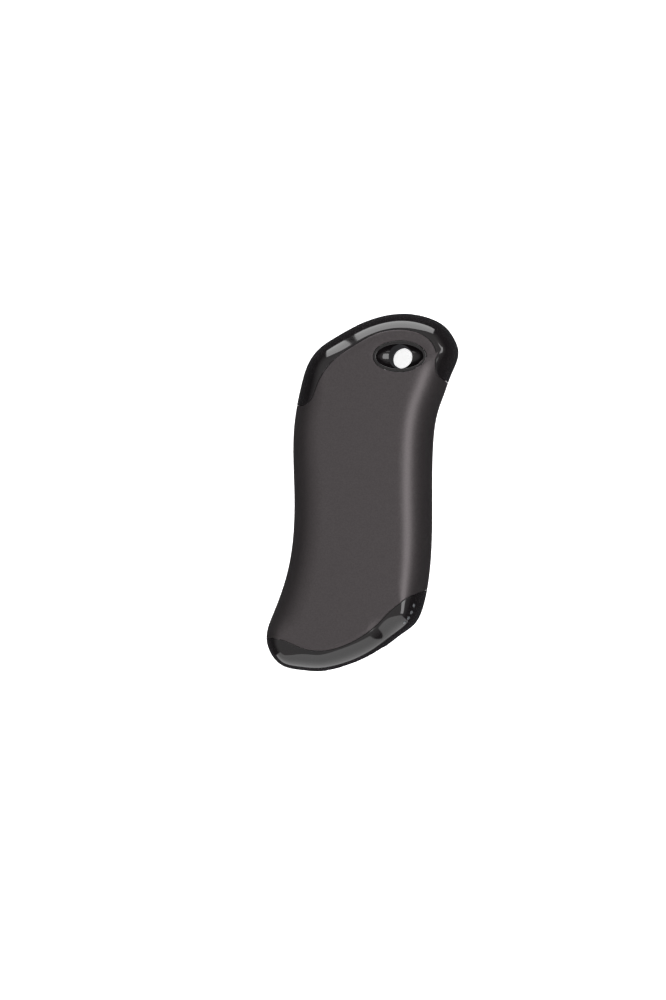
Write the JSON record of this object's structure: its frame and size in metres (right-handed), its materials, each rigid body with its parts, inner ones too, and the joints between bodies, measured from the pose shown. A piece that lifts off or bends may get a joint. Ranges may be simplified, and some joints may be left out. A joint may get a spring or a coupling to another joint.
{
  "type": "rechargeable hand warmer",
  "caption": "Pocket-size electric hand warmer with a curved oval body, metal skins, gloss end caps, a lanyard eyelet, charging sockets and a side power button.",
  "frame": {"origin": "under the middle of the outline, on the flat of the back that the warmer lies on", "axes": "+Z is the outward normal of the front, +Y runs along the body to the end with the lanyard eyelet, +X is to the right seen from the front"},
  "size_m": [0.0502, 0.1192, 0.026],
  "materials": {
    "satin_aluminium": "satin, dark graphite, fine grain",
    "gloss_black": "polished black moulding",
    "film": "amber polyimide film",
    "foam": "soft grey foam",
    "cell_wrap": "shrink wrap",
    "nickel": "nickel plate",
    "board": "green solder mask",
    "chip": "matte black moulding",
    "steel": "bright plated steel",
    "socket_plastic": "matte black insulator",
    "light": "clear to milky plastic",
    "red_insulation": "silicone insulation",
    "black_insulation": "silicone insulation"
  },
  "bodies": {
    "case": {"front_housing": "gloss_black", "rear_housing": "gloss_black", "front_skin": "satin_aluminium", "rear_skin": "satin_aluminium", "front_eyelet": "gloss_black", "rear_eyelet": "gloss_black", "front_heater_film": "film", "rear_heater_film": "film", "front_pad": "foam", "rear_pad": "foam", "cell_left": "cell_wrap", "cell_right": "cell_wrap", "positive_strip": "nickel", "negative_strip": "nickel", "main_board": "board", "controller_chip": "chip", "charger_chip": "chip", "inductor": "chip", "capacitor": "steel", "usb_a_shell": "steel", "usb_a_tongue": "socket_plastic", "micro_usb_shell": "steel", "micro_usb_tongue": "socket_plastic", "switch_body": "chip", "light_guide": "light", "led_1": "light", "led_2": "light", "led_3": "light", "led_4": "light", "screw_1": "steel", "screw_2": "steel", "screw_3": "steel", "screw_4": "steel", "red_lead": "red_insulation", "black_lead": "black_insulation", "front_heater_lead": "black_insulation", "rear_heater_lead": "black_insulation"},
    "button": {"power_button": "gloss_black", "switch_plunger": "socket_plastic"}
  },
  "joints": [
    {"name": "power_button_press", "type": "slide", "parent": "case", "child": "button", "axis": [-0.9553, 0.2955, 0], "range_m": [0, 0.0004], "stiffness_N_per_m": 3000, "springref_m": -0.0002}
  ]
}
